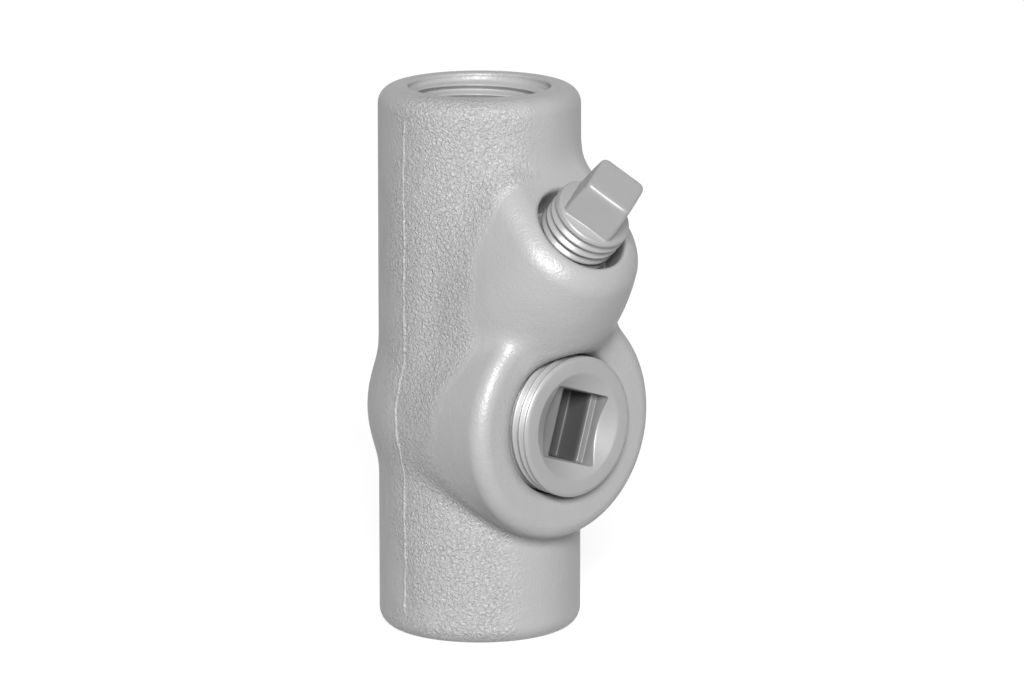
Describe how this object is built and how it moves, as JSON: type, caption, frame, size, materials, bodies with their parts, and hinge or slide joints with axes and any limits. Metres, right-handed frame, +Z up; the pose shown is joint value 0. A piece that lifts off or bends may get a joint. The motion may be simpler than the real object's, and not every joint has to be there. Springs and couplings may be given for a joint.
{
  "type": "conduit drain and sealing fitting",
  "caption": "Straight cast conduit fitting with threaded hubs, a bulged sealing chamber, a front port with a recessed square-socket plug and a leaning fill port with a square-head plug.",
  "frame": {"origin": "centre of the bottom hub's end face, on the conduit axis", "axes": "+Z up the conduit axis from the bottom hub to the top hub, -Y out of the wide front port, XZ the casting's parting plane"},
  "size_m": [0.0426, 0.0628, 0.1035],
  "materials": {
    "cast_body": "cast skin under a silver-grey aluminium finish",
    "recessed_plug": "smooth silver-grey plating, cut threads bright",
    "head_plug": "smooth silver-grey plating, cut threads bright"
  },
  "bodies": {
    "casting": {"fitting_body": "cast_body"},
    "drain_plug": {"square_socket_plug": "recessed_plug"},
    "fill_plug": {"square_head_plug": "head_plug"}
  },
  "joints": [
    {"name": "drain_plug_travel", "type": "slide", "parent": "casting", "child": "drain_plug", "axis": [0, -1, 0], "range_m": [0, 0.025]},
    {"name": "fill_plug_travel", "type": "slide", "parent": "casting", "child": "fill_plug", "axis": [0, -0.7071, 0.7071], "range_m": [0, 0.025]}
  ]
}
